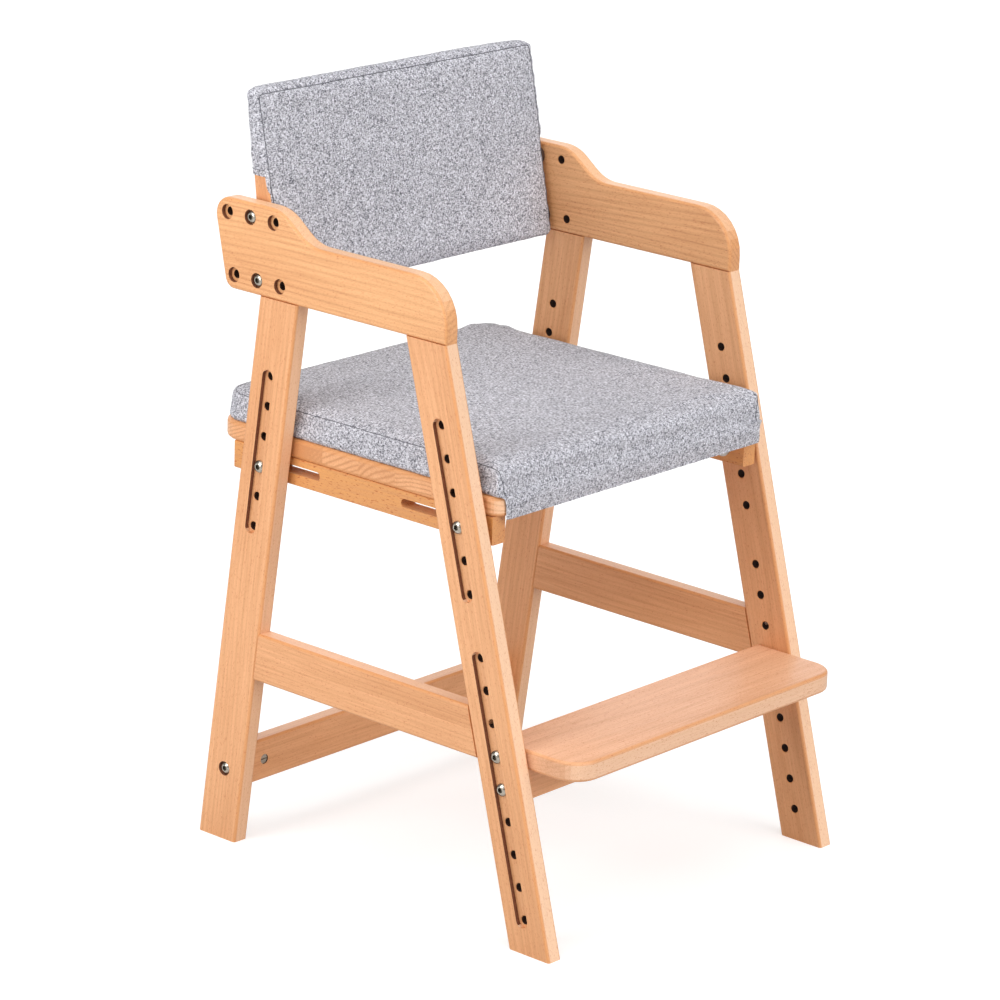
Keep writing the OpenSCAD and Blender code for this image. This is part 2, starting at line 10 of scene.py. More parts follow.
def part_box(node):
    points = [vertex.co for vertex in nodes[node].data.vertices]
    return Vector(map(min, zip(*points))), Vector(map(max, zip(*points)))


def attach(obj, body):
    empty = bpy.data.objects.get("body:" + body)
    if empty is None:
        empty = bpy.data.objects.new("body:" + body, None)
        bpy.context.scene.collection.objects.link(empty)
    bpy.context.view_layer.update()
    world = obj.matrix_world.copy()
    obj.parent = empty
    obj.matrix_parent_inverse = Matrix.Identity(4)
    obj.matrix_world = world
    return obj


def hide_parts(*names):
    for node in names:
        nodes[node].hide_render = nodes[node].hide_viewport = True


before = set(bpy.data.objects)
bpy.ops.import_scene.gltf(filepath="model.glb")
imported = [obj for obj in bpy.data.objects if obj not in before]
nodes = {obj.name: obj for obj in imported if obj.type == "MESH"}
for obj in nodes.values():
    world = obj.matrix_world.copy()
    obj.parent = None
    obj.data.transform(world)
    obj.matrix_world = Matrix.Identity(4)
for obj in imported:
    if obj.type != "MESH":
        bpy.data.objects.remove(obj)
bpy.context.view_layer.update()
print("frame loaded:", len(nodes), "nodes")


def deselectAll():
    bpy.ops.object.select_all(action="DESELECT")


def activate(piece):
    deselectAll()
    piece.select_set(True)
    bpy.context.view_layer.objects.active = piece


def addBlock(name, low, high):
    deselectAll()
    centre = [(a + b) / 2 for a, b in zip(low, high)]
    bpy.ops.mesh.primitive_cube_add(size=1, location=centre)
    piece = bpy.context.object
    piece.name = name
    piece.scale = [b - a for a, b in zip(low, high)]
    bpy.ops.object.transform_apply(location=True, rotation=True, scale=True)
    return piece


# Selects in edit mode the faces, edges or vertices whose middle passes the test
def pick(piece, kind, test):
    bpy.ops.mesh.select_mode(type={"verts": "VERT", "edges": "EDGE", "faces": "FACE"}[kind])
    bpy.ops.mesh.select_all(action="DESELECT")
    shape = bmesh.from_edit_mesh(piece.data)
    for item in getattr(shape, kind):
        corners = [item.co] if kind == "verts" else [v.co for v in item.verts]
        middle = sum(corners, Vector()) / len(corners)
        if test(middle, item):
            item.select_set(True)
    shape.select_flush_mode()
    bmesh.update_edit_mesh(piece.data)


def bevelEdges(piece, width, segments, test):
    activate(piece)
    bpy.ops.object.mode_set(mode="EDIT")
    pick(piece, "edges", test)
    bpy.ops.mesh.bevel(offset=width, segments=segments, affect="EDGES")
    bpy.ops.object.mode_set(mode="OBJECT")


def moveCorners(piece, offset, test):
    activate(piece)
    bpy.ops.object.mode_set(mode="EDIT")
    pick(piece, "verts", test)
    bpy.ops.transform.translate(value=offset)
    bpy.ops.object.mode_set(mode="OBJECT")


def runsAlong(edge, axis):
    step = edge.verts[1].co - edge.verts[0].co
    return abs(step[axis]) > 0.95 * step.length


def applyModifier(piece, kind, **settings):
    activate(piece)
    modifier = piece.modifiers.new(kind.title(), kind)
    for key, value in settings.items():
        setattr(modifier, key, value)
    bpy.ops.object.modifier_apply(modifier=modifier.name)


def joinPieces(name, pieces):
    deselectAll()
    for piece in pieces:
        piece.select_set(True)
    bpy.context.view_layer.objects.active = pieces[0]
    bpy.ops.object.join()
    pieces[0].name = name
    return pieces[0]


def cutAway(piece, cutter):
    applyModifier(piece, "BOOLEAN", operation="DIFFERENCE", solver="EXACT", object=cutter)
    bpy.data.objects.remove(cutter)


def readPoints(piece):
    points = np.empty(len(piece.data.vertices) * 3)
    piece.data.vertices.foreach_get("co", points)
    return points.reshape(-1, 3)


def writePoints(piece, points):
    piece.data.vertices.foreach_set("co", points.ravel())
    piece.data.update()


fillFrames = 20     # steps of each cloth simulation


# Fills a closed cover with air pressure, then lets no point move further than reach
def inflate(piece, pressure, reach, isHeld):
    before = readPoints(piece)
    held = piece.vertex_groups.new(name="held")
    held.add([i for i, p in enumerate(before) if isHeld(p)], 1.0, "REPLACE")
    activate(piece)
    cloth = piece.modifiers.new("Filling", "CLOTH")
    cloth.settings.use_pressure = True
    cloth.settings.uniform_pressure_force = pressure
    cloth.settings.vertex_group_mass = held.name
    cloth.settings.effector_weights.gravity = 0
    cloth.point_cache.frame_start = 1
    cloth.point_cache.frame_end = fillFrames
    for step in range(1, fillFrames + 1):
        bpy.context.scene.frame_set(step)
    bpy.ops.object.modifier_apply(modifier=cloth.name)
    bpy.context.scene.frame_set(1)
    moved = readPoints(piece) - before
    length = np.linalg.norm(moved, axis=1, keepdims=True)
    writePoints(piece, before + moved * np.minimum(1, reach / np.maximum(length, 1e-9)))
    piece.vertex_groups.clear()


# Small folds and dents that a sewn cover has
def crease(piece, depth, size):
    piece.data.update()
    normals = np.empty(len(piece.data.vertices) * 3)
    piece.data.vertices.foreach_get("normal", normals)
    points = readPoints(piece)
    lift = [noise.noise(Vector(p) / size) + 0.5 * noise.noise(Vector(p) * 2.3 / size) for p in points]
    writePoints(piece, points + normals.reshape(-1, 3) * depth * np.array(lift)[:, None])


# Presses a groove into the cover along a seam
def pinch(piece, path, depth, width):
    points = readPoints(piece)
    normals = np.empty(len(points) * 3)
    piece.data.vertices.foreach_get("normal", normals)
    nearest = np.full(len(points), 1.0)
    for spot in path:
        nearest = np.minimum(nearest, np.linalg.norm(points - np.array(spot), axis=1))
    push = depth * np.exp(-(nearest / width) ** 2)
    writePoints(piece, points - normals.reshape(-1, 3) * push[:, None])


# Lays the cover's threads: across and up on walls, across and back on level faces, in metres
def threadMap(piece):
    mesh = piece.data
    layer = mesh.uv_layers.new(name="threads")
    for face in mesh.polygons:
        turn = [abs(n) for n in face.normal]
        wall = turn.index(max(turn))
        for corner in face.loop_indices:
            spot = mesh.vertices[mesh.loops[corner].vertex_index].co
            layer.data[corner].uv = [(spot.y, spot.z), (spot.x, spot.z), (spot.x, spot.y)][wall]


def smooth(piece, angle):
    activate(piece)
    bpy.ops.object.shade_smooth_by_angle(angle=math.radians(angle))


pathStep = 0.003    # from one point of a seam's path to the next


# Points along straight runs from corner to corner, each corner rounded by its own radius
def roundedPath(corners, radius):
    path = []
    for i, corner in enumerate(corners):
        corner = Vector(corner)
        if 0 < i < len(corners) - 1 and radius[i] > 0:
            arrive = corner + (Vector(corners[i - 1]) - corner).normalized() * radius[i]
            leave = corner + (Vector(corners[i + 1]) - corner).normalized() * radius[i]
            bend = [arrive.lerp(corner, t).lerp(corner.lerp(leave, t), t) for t in np.linspace(0, 1, 8)]
        else:
            bend = [corner]
        for spot in bend:
            if path:
                gap = (spot - path[-1]).length
                start = path[-1]
                path += [start.lerp(spot, k * pathStep / gap) for k in range(1, int(gap / pathStep))]
            path.append(spot)
    return path


def layOn(piece, path, lift):
    tree = BVHTree.FromObject(piece, bpy.context.evaluated_depsgraph_get())
    laid = []
    for spot in path:
        place, normal, _, _ = tree.find_nearest(spot)
        laid.append(place + normal * lift)
    return laid


# A thread or binding as a thin tube along a path
def addThread(name, path, radius):
    deselectAll()
    line = bpy.data.curves.new(name, "CURVE")
    line.dimensions = "3D"
    line.bevel_depth = radius
    line.bevel_resolution = 1
    line.use_fill_caps = True
    spline = line.splines.new("POLY")
    spline.points.add(len(path) - 1)
    for point, spot in zip(spline.points, path):
        point.co = (*spot, 1)
    piece = bpy.data.objects.new(name, line)
    bpy.context.collection.objects.link(piece)
    activate(piece)
    bpy.ops.object.convert(target="MESH")
    return bpy.context.object


def addNode(tree, kind, values=None, **settings):
    made = tree.nodes.new("ShaderNode" + kind)
    for key, value in settings.items():
        setattr(made, key, value)
    for key, value in (values or {}).items():
        if isinstance(value, bpy.types.NodeSocket):
            tree.links.new(value, made.inputs[key])
        else:
            made.inputs[key].default_value = value
    return made


def calc(tree, operation, *values):
    return addNode(tree, "Math", dict(enumerate(values)), operation=operation).outputs[0]


def stretch(tree, value, low, high, toLow=0.0, toHigh=1.0):
    values = {"Value": value, 1: low, 2: high, 3: toLow, 4: toHigh}
    return addNode(tree, "MapRange", values, clamp=True).outputs[0]


def blendColors(tree, share, first, second, how="MIX"):
    made = addNode(tree, "Mix", {0: share, 6: first, 7: second}, data_type="RGBA", blend_type=how)
    return made.outputs[2]


def scaled(tree, vector, rates):
    return addNode(tree, "VectorMath", {0: vector, 1: rates}, operation="MULTIPLY").outputs[0]


def grainNoise(tree, vector, detail=2.0, roughness=0.5):
    values = {"Vector": vector, "Scale": 1.0, "Detail": detail, "Roughness": roughness}
    return addNode(tree, "TexNoise", values).outputs[0]


# A group with its own inputs, which puts out a surface's colour, roughness and height
def startGroup(name, inputs):
    tree = bpy.data.node_groups.new(name, "ShaderNodeTree")
    for label, (kind, value) in inputs.items():
        socket = tree.interface.new_socket(label, in_out="INPUT", socket_type="NodeSocket" + kind)
        socket.default_value = value
    for label, kind in (("Color", "Color"), ("Roughness", "Float"), ("Height", "Float")):
        tree.interface.new_socket(label, in_out="OUTPUT", socket_type="NodeSocket" + kind)
    return tree, tree.nodes.new("NodeGroupInput"), tree.nodes.new("NodeGroupOutput")


def endGroup(tree, end, results):
    for label, socket in results.items():
        tree.links.new(socket, end.inputs[label])
    return tree


beechFigure = {
    "cloud": (16, 16, 2.2),         # how often each pattern changes in a metre along X, Y and Z
    "fibre": (520, 520, 14),
    "waver": (9, 9, 1.6),
    "fleck": (1150, 1150, 330),
    "pore": (2600, 2600, 500),
    "ringCentre": (0.035, 0.09, 0),
    "ringRate": 1300,
    "waverReach": 0.045,
    "staveShift": (0.4, 0.09, 1.7),
    "cloudShare": (-0.05, 0.65),
    "fibreShare": 0.62,
    "ringShare": 0.75,
    "endShare": 0.35,
    "poreShare": 0.6,
    "edgeShare": 0.55,
    "fleckDepth": 0.85,
}


# Solid beech: fibres and pores along Z, growth rings round Z, and staves side by side along X
def makeBeechGrain(figure):
    tree, start, end = startGroup("beechGrain", {
        "Vector": ("Vector", (0, 0, 0)), "Normal": ("Vector", (0, 0, 1)),
        "Grain": ("Vector", (0, 0, 1)), "Wide": ("Vector", (1, 0, 0)),
        "Light": ("Color", (0.8, 0.5, 0.3, 1)), "Dark": ("Color", (0.6, 0.3, 0.15, 1)),
        "Edge": ("Color", (0.7, 0.35, 0.15, 1)), "Narrow Highlight": ("Color", (0.9, 0.7, 0.5, 1)),
        "Stave": ("Float", 10.0), "Stave Tone": ("Float", 0.0),
        "Rings": ("Float", 0.3), "Flecks": ("Float", 0.5), "Fleck Size": ("Float", 1.0),
        "Narrow Highlight Share": ("Float", 0.3),
    })
    given = start.outputs
    parts = addNode(tree, "SeparateXYZ", {0: given["Vector"]}).outputs
    stave = calc(tree, "FLOOR", calc(tree, "DIVIDE", parts[0], given["Stave"]))
    chance = addNode(tree, "TexWhiteNoise", {"W": stave}, noise_dimensions="1D").outputs
    shift = scaled(tree, chance["Color"], figure["staveShift"])
    place = addNode(tree, "VectorMath", {0: given["Vector"], 1: shift}, operation="ADD").outputs[0]

    cloud = grainNoise(tree, scaled(tree, place, figure["cloud"]), 3)
    fibre = grainNoise(tree, scaled(tree, place, figure["fibre"]), 3, 0.6)
    waver = grainNoise(tree, scaled(tree, place, figure["waver"]), 2)
    # the rings' centre lies outside the board, and the tree's line wavers along it
    centred = addNode(tree, "VectorMath", {0: place, 1: figure["ringCentre"]}, operation="ADD").outputs[0]
    flat = scaled(tree, centred, (1, 1, 0))
    radius = addNode(tree, "VectorMath", {0: flat}, operation="LENGTH").outputs["Value"]
    radius = calc(tree, "MULTIPLY_ADD", waver, figure["waverReach"], radius)
    ring = calc(tree, "SINE", calc(tree, "MULTIPLY", radius, figure["ringRate"]))
    ring = calc(tree, "POWER", stretch(tree, ring, -1, 1), 3)

    fleckPlace = addNode(tree, "VectorMath", {0: place, 1: given["Fleck Size"]}, operation="DIVIDE")
    fleckCloud = grainNoise(tree, scaled(tree, fleckPlace.outputs[0], figure["fleck"]), 1)
    fleck = stretch(tree, fleckCloud, 0.62, 0.70)
    pore = stretch(tree, grainNoise(tree, scaled(tree, place, figure["pore"]), 1), 0.62, 0.72)
    fleck = calc(tree, "MAXIMUM", fleck, calc(tree, "MULTIPLY", pore, figure["poreShare"]))

    tone = stretch(tree, cloud, 0.3, 0.7, *figure["cloudShare"])
    fibreTone = stretch(tree, fibre, 0.3, 0.7, -0.5, 0.5)
    tone = calc(tree, "MULTIPLY_ADD", fibreTone, figure["fibreShare"], tone)
    ringTone = calc(tree, "MULTIPLY", ring, given["Rings"])
    tone = calc(tree, "MULTIPLY_ADD", ringTone, figure["ringShare"], tone)
    staveTone = calc(tree, "MULTIPLY", calc(tree, "SUBTRACT", chance["Value"], 0.5), given["Stave Tone"])
    tone = calc(tree, "ADD", tone, staveTone)

    def facing(axis):
        turn = addNode(tree, "VectorMath", {0: given["Normal"], 1: axis}, operation="DOT_PRODUCT")
        return calc(tree, "ABSOLUTE", turn.outputs["Value"])

    endGrain = stretch(tree, facing(given["Grain"]), 0.75, 0.95)
    wide = facing(given["Wide"])
    narrow = stretch(tree, wide, 0.35, 0.1)
    rounded = calc(tree, "MULTIPLY", stretch(tree, wide, 0.05, 0.3), stretch(tree, wide, 0.995, 0.93))
    tone = calc(tree, "MULTIPLY_ADD", endGrain, figure["endShare"], tone)

    color = blendColors(tree, stretch(tree, tone, -0.05, 1.2), given["Light"], given["Dark"])
    # narrow faces, but not end grain, are blended towards a cream colour: a painted highlight for the light
    # falling on the edges
    highlightPart = calc(tree, "MULTIPLY", narrow, given["Narrow Highlight Share"])
    highlightPart = calc(tree, "MULTIPLY", highlightPart, calc(tree, "SUBTRACT", 1.0, endGrain))
    color = blendColors(tree, highlightPart, color, given["Narrow Highlight"])
    color = blendColors(tree, calc(tree, "MULTIPLY", rounded, figure["edgeShare"]), color, given["Edge"])
    fleckPart = calc(tree, "MULTIPLY", fleck, given["Flecks"])
    fleckColor = blendColors(tree, figure["fleckDepth"], color, given["Dark"], "MULTIPLY")
    color = blendColors(tree, fleckPart, color, fleckColor)

    roughness = stretch(tree, fibre, 0.3, 0.7, 0.36, 0.5)
    height = calc(tree, "MULTIPLY_ADD", fleck, -0.6, stretch(tree, fibre, 0.3, 0.7, 0.0, 0.5))
    return endGroup(tree, end, {"Color": color, "Roughness": roughness, "Height": height})


weaveFigure = {
    "toneRate": 0.2,        # how often a thread changes tone, in crossings
    "slubRate": 0.15,
    "laneStep": 3.71,       # keeps each thread's tones apart from its neighbour's
    "upper": (0.3, 0.7),    # share of the upper thread at a crossing
    "patchRate": (70, 70, 1),
    "patchShare": 0.06,
    "slubShare": 0.7,
    "mound": 3.0,
}


# Heather cloth: threads of mixed tone over and under each other, from a map in metres
def makeHeatherWeave(figure):
    tree, start, end = startGroup("heatherWeave", {
        "Vector": ("Vector", (0, 0, 0)),
        "Light": ("Color", (0.7, 0.7, 0.72, 1)), "Middle": ("Color", (0.5, 0.5, 0.53, 1)),
        "Dark": ("Color", (0.2, 0.2, 0.22, 1)),
        "Pitch": ("Float", 0.0011), "Contrast": ("Float", 1.0),
    })
    given = start.outputs
    parts = addNode(tree, "SeparateXYZ", {0: given["Vector"]}).outputs
    across = calc(tree, "DIVIDE", parts[0], given["Pitch"])
    along = calc(tree, "DIVIDE", parts[1], given["Pitch"])

    # each thread has its own run of tones, which change every few crossings
    def thread(lane, run, change, shift):
        spot = addNode(tree, "CombineXYZ", {
            0: calc(tree, "MULTIPLY_ADD", calc(tree, "FLOOR", lane), figure["laneStep"], shift),
            1: calc(tree, "MULTIPLY", run, change)}).outputs[0]
        return grainNoise(tree, spot, 0.0)

    warp = thread(across, along, figure["toneRate"], 0.0)
    weft = thread(along, across, figure["toneRate"], 53.3)
    warpSlubs = thread(across, along, figure["slubRate"], 17.9)
    slubs = calc(tree, "MAXIMUM", warpSlubs, thread(along, across, figure["slubRate"], 91.7))
    steps = calc(tree, "ADD", calc(tree, "FLOOR", across), calc(tree, "FLOOR", along))
    over = calc(tree, "PINGPONG", steps, 1.0)
    share = stretch(tree, over, 0.0, 1.0, *figure["upper"])
    mixed = addNode(tree, "Mix", {0: share, 2: warp, 3: weft}, data_type="FLOAT").outputs[0]
    patch = grainNoise(tree, scaled(tree, given["Vector"], figure["patchRate"]), 2)
    mixed = calc(tree, "MULTIPLY_ADD", calc(tree, "SUBTRACT", patch, 0.5), figure["patchShare"], mixed)
    tone = calc(tree, "MULTIPLY_ADD", calc(tree, "SUBTRACT", mixed, 0.5), given["Contrast"], 0.5)
    color = blendColors(tree, stretch(tree, tone, 0.30, 0.46), given["Dark"], given["Middle"])
    color = blendColors(tree, stretch(tree, tone, 0.50, 0.68), color, given["Light"])
    slubPart = stretch(tree, slubs, 0.64, 0.74, 0.0, figure["slubShare"])
    color = blendColors(tree, slubPart, color, given["Dark"])
    mound = calc(tree, "MULTIPLY", calc(tree, "PINGPONG", across, 0.5), calc(tree, "PINGPONG", along, 0.5))
    height = calc(tree, "MULTIPLY_ADD", mound, figure["mound"], mixed)
    roughness = stretch(tree, mixed, 0.3, 0.7, 0.97, 0.85)
    return endGroup(tree, end, {"Color": color, "Roughness": roughness, "Height": height})


# Plated or moulded surface: faint mottling and fine scratches
def makeSurfaceWear():
    tree, start, end = startGroup("surfaceWear", {
        "Vector": ("Vector", (0, 0, 0)), "Light": ("Color", (0.8, 0.8, 0.8, 1)),
        "Dark": ("Color", (0.6, 0.6, 0.6, 1)), "Scale": ("Float", 220.0),
        "Smooth": ("Float", 0.2), "Rough": ("Float", 0.4),
    })
    given = start.outputs
    values = {0: given["Vector"], 3: given["Scale"]}
    place = addNode(tree, "VectorMath", values, operation="SCALE").outputs[0]
    mottle = grainNoise(tree, place, 3)
    scratch = grainNoise(tree, scaled(tree, place, (6, 6, 0.8)), 2)
    share = stretch(tree, calc(tree, "MULTIPLY_ADD", scratch, 0.4, mottle), 0.45, 0.95)
    color = blendColors(tree, share, given["Light"], given["Dark"])
    values = {0: share, 2: given["Smooth"], 3: given["Rough"]}
    roughness = addNode(tree, "Mix", values, data_type="FLOAT").outputs[0]
    return endGroup(tree, end, {"Color": color, "Roughness": roughness, "Height": scratch})


beechGrain = makeBeechGrain(beechFigure)
heatherWeave = makeHeatherWeave(weaveFigure)
surfaceWear = makeSurfaceWear()


# A Principled material fed by one of the groups, whose Vector is still to be linked
def startMaterial(name, group, values, bump, distance):
    material = bpy.data.materials.new(name)
    material.use_nodes = True
    tree = material.node_tree
    shader = tree.nodes["Principled BSDF"]
    surface = tree.nodes.new("ShaderNodeGroup")
    surface.node_tree = group
    for key, value in values.items():
        surface.inputs[key].default_value = value
    tree.links.new(surface.outputs["Color"], shader.inputs["Base Color"])
    tree.links.new(surface.outputs["Roughness"], shader.inputs["Roughness"])
    relief = addNode(tree, "Bump", {
        "Strength": bump, "Distance": distance, "Height": surface.outputs["Height"]})
    tree.links.new(relief.outputs[0], shader.inputs["Normal"])
    return material, tree, shader, surface


beechLook = {
    "light": (0.88, 0.46, 0.225, 1),
    "dark": (0.64, 0.28, 0.11, 1),
    "edge": (0.70, 0.30, 0.10, 1),
    # colour and share of the painted highlight on the narrow faces
    "pale": (0.92, 0.64, 0.44, 1),
    "rings": 0.35,
    "flecks": 0.55,
    "fleckSize": 1.0,
    "paleness": 0.45,
    "relief": 0.25,
    "reliefDepth": 0.0004,
    "coat": 0.18,
    "coatRoughness": 0.28,
}


# Beech whose fibres run along grain and whose broad faces look along wide
def makeBeech(name, grain, wide, stave=10.0, staveTone=0.0, across=None, **changes):
    look = {**beechLook, **changes}
    grain = Vector(grain).normalized()
    wide = Vector(wide).normalized()
    across = Vector(across).normalized() if across else wide
    across = (across - grain * across.dot(grain)).normalized()
    turn = Matrix((across, grain.cross(across), grain)).to_euler()
    material, tree, shader, surface = startMaterial(name, beechGrain, {
        "Grain": grain, "Wide": wide, "Light": look["light"], "Dark": look["dark"],
        "Edge": look["edge"], "Narrow Highlight": look["pale"], "Stave": stave, "Stave Tone": staveTone,
        "Rings": look["rings"], "Flecks": look["flecks"], "Fleck Size": look["fleckSize"],
        "Narrow Highlight Share": look["paleness"],
    }, look["relief"], look["reliefDepth"])
    coords = addNode(tree, "TexCoord").outputs
    turned = addNode(tree, "Mapping", {"Vector": coords["Object"], "Rotation": turn})
    tree.links.new(turned.outputs[0], surface.inputs["Vector"])
    tree.links.new(coords["Normal"], surface.inputs["Normal"])
    shader.inputs["Coat Weight"].default_value = look["coat"]
    shader.inputs["Coat Roughness"].default_value = look["coatRoughness"]
    return material


clothLook = {
    "light": (0.82, 0.815, 0.875, 1),
    "middle": (0.50, 0.495, 0.545, 1),
    "dark": (0.09, 0.09, 0.11, 1),
    "pitch": 0.0006,        # from one thread to the next
    "contrast": 1.3,
    "relief": 0.55,
    "reliefDepth": 0.0005,
    "sheen": 0.15,
    "sheenRoughness": 0.5,
    "specular": 0.25,
}


# Heather cloth, whose threads follow the piece's own map
def makeCloth(name, **changes):
    look = {**clothLook, **changes}
    material, tree, shader, surface = startMaterial(name, heatherWeave, {
        "Light": look["light"], "Middle": look["middle"], "Dark": look["dark"],
        "Pitch": look["pitch"], "Contrast": look["contrast"],
    }, look["relief"], look["reliefDepth"])
    threads = addNode(tree, "UVMap", uv_map="threads")
    tree.links.new(threads.outputs[0], surface.inputs["Vector"])
    shader.inputs["Sheen Weight"].default_value = look["sheen"]
    shader.inputs["Sheen Roughness"].default_value = look["sheenRoughness"]
    shader.inputs["Specular IOR Level"].default_value = look["specular"]
    return material


plainLook = {
    "metallic": 0.0,
    "scale": 220.0,
    "relief": 0.05,
    "reliefDepth": 0.0002,
}


# Metal, plastic, foam, thread or shaded wood: mottled between two colours and two roughnesses
def makePlain(name, light, dark, smoothest, roughest, **changes):
    look = {**plainLook, **changes}
    material, tree, shader, surface = startMaterial(name, surfaceWear, {
        "Light": (*light, 1), "Dark": (*dark, 1), "Scale": look["scale"],
        "Smooth": smoothest, "Rough": roughest,
    }, look["relief"], look["reliefDepth"])
    tree.links.new(addNode(tree, "TexCoord").outputs["Object"], surface.inputs["Vector"])
    shader.inputs["Metallic"].default_value = look["metallic"]
    return material


upright = (0, 0, 1)
sideways = (1, 0, 0)
forward = (0, 1, 0)
# directions along the leaning legs and posts
rearLean = (0, -0.1272, 1)
frontLean = (0, 0.2717, 1)
postLean = (0, 0.17, 1)

# the narrow faces' painted highlight is strongest on the front legs and off on the dowels
beechNodes = {
    "right_armrest": makeBeech("beechArmrest", forward, sideways, light=(0.88, 0.47, 0.215, 1),
                               flecks=0.9, fleckSize=0.8, rings=0.6),
    "right_rear_leg": makeBeech("beechRearLeg", rearLean, sideways),
    "right_front_leg": makeBeech("beechFrontLeg", frontLean, sideways, paleness=0.75),
    "right_side_rail": makeBeech("beechSideRail", forward, sideways, 0.026, 0.5, across=upright),
    "rear_crossbar": makeBeech("beechCrossbar", sideways, forward),
    "seat_board": makeBeech("beechSeatBoard", sideways, upright, 0.048, 1.0, across=forward, rings=1.2),
    "right_seat_rail": makeBeech("beechSeatRail", forward, sideways, light=(0.78, 0.36, 0.105, 1),
                                 flecks=1.0, fleckSize=1.7, paleness=0.2),
    "right_back_post": makeBeech("beechBackPost", postLean, sideways),
    "back_panel": makeBeech("beechPanel", sideways, forward, paleness=0.1, light=(0.84, 0.55, 0.33, 1)),
    "footrest_board": makeBeech("beechFootrest", sideways, upright, 0.034, 0.9, across=forward,
                                flecks=0.7, light=(0.86, 0.50, 0.31, 1), dark=(0.66, 0.33, 0.17, 1)),
    "footrest_rail": makeBeech("beechFootRail", sideways, forward),
    "frame_dowels": makeBeech("beechDowels", upright, sideways, paleness=0.0),
}
for pair in ("armrest", "rear_leg", "front_leg", "side_rail", "seat_rail", "back_post"):
    beechNodes["left_" + pair] = beechNodes["right_" + pair]
beechNodes["footrest_dowels"] = beechNodes["frame_dowels"]

nickel = makePlain("nickelPlate", (0.72, 0.67, 0.58), (0.42, 0.37, 0.30), 0.16, 0.34,
                   metallic=1.0, scale=300.0)
zinc = makePlain("zincPlate", (0.72, 0.72, 0.70), (0.50, 0.49, 0.46), 0.3, 0.5,
                 metallic=1.0, scale=160.0, relief=0.12)
# the spacers' near-black brown is painted shade, so they read as the dark gaps between the back cover, posts
# and armrests
shadedNylon = makePlain("nylonRingShade", (0.075, 0.038, 0.025), (0.045, 0.022, 0.015), 0.4, 0.55)
hardwareNodes = {
    "crossbar_bolts": nickel, "seat_bolts": nickel, "back_bolts": nickel, "footrest_bolts": nickel,
    "crossbar_barrel_nuts": nickel, "footrest_barrel_nuts": nickel,
    "seat_washers": zinc, "seat_nuts": zinc, "seat_screws": zinc, "back_screws": zinc, "back_inserts": zinc,
    "seat_spacers": shadedNylon, "back_spacers": shadedNylon,
}


# Paints shade into the walls of holes, slots and grooves: faces that look at another close by get a dark
# second material as painted shade
def paintHollowShade(piece, narrow, reach, wide=None, wideReach=0):
    tree = BVHTree.FromObject(piece, bpy.context.evaluated_depsgraph_get())
    piece.data.materials.append(narrow)
    if wide:
        piece.data.materials.append(wide)
    for face in piece.data.polygons:
        start = Vector(face.center) + face.normal * 1e-5
        _, facing, _, gap = tree.ray_cast(start, face.normal, max(reach, wideReach))
        if facing is not None and facing.dot(face.normal) < -0.5:
            face.material_index = 1 if gap < reach else 2


hollowLook = {
    "boreWidth": 0.012,     # the widest hole that counts as a bore
    "grooveWidth": 0.0155,
    "socketWidth": 0.0065,
}
boreShade = makePlain("boreShade", (0.070, 0.026, 0.014), (0.035, 0.014, 0.008), 0.6, 0.8,
                      scale=500.0, relief=0.3)
grooveShade = makePlain("grooveShade", (0.26, 0.095, 0.045), (0.15, 0.05, 0.022), 0.6, 0.8,
                        scale=500.0, relief=0.3)
socketShade = makePlain("socketShade", (0.10, 0.085, 0.06), (0.04, 0.035, 0.03), 0.4, 0.6,
                        metallic=1.0, scale=400.0)
# bores, grooves and bolt sockets get painted shade on their walls
for name, material in {**beechNodes, **hardwareNodes}.items():
    nodes[name].data.materials.clear()
    nodes[name].data.materials.append(material)
    if name in beechNodes and "seat_rail" not in name:
        paintHollowShade(nodes[name], boreShade, hollowLook["boreWidth"], grooveShade, hollowLook["grooveWidth"])
    elif name.endswith("_bolts"):
        paintHollowShade(nodes[name], socketShade, hollowLook["socketWidth"])

seatCloth = makeCloth("heatherSeat")
backCloth = makeCloth("heatherBack", contrast=1.45)
seamThread = makePlain("seamThread", (0.22, 0.22, 0.25), (0.06, 0.06, 0.07), 0.8, 0.95,
                       scale=500.0, relief=0.3)
foamFill = makePlain("foamFill", (0.86, 0.84, 0.74), (0.74, 0.71, 0.60), 0.85, 0.98,
                     scale=700.0, relief=0.5)
print("materials made:", len(bpy.data.materials))


seatLook = {
    "frontCorner": 0.007,   # radius of the cushion's front corners, seen from above
    "rearCorner": 0.030,
    "topEdge": 0.005,
    "frontEdge": 0.010,     # the top rolls over the front edge in one piece
    "flapLeft": -0.189,     # the front face hangs down over the board as a flap
    "flapRight": 0.1945,
    "flapThick": 0.010,
    "flapLap": 0.012,       # how far the flap runs up into the cushion
    "flapTilt": 0.0010,     # how far the free hem stands off the board
    "underGap": 0.0004,     # between the cushion and the board
    "frontSetBack": 0.0016,
    "sideSetIn": 0.0004,    # room at the sides and back for the filling to swell into
    "pressure": 4.0,
    "puff": 0.0035,
    "puffShare": 0.6,       # share of the swelling that the block leaves room for at the top
    "slack": 0.0006,        # how far the cloth may stand past the cover's box
    "dents": 0.0005,
    "dentSize": 0.035,
    "seamDepth": 0.0009,
    "seamWidth": 0.0028,
    "voxel": 0.0042,
    "seamRadius": 0.00042,
}


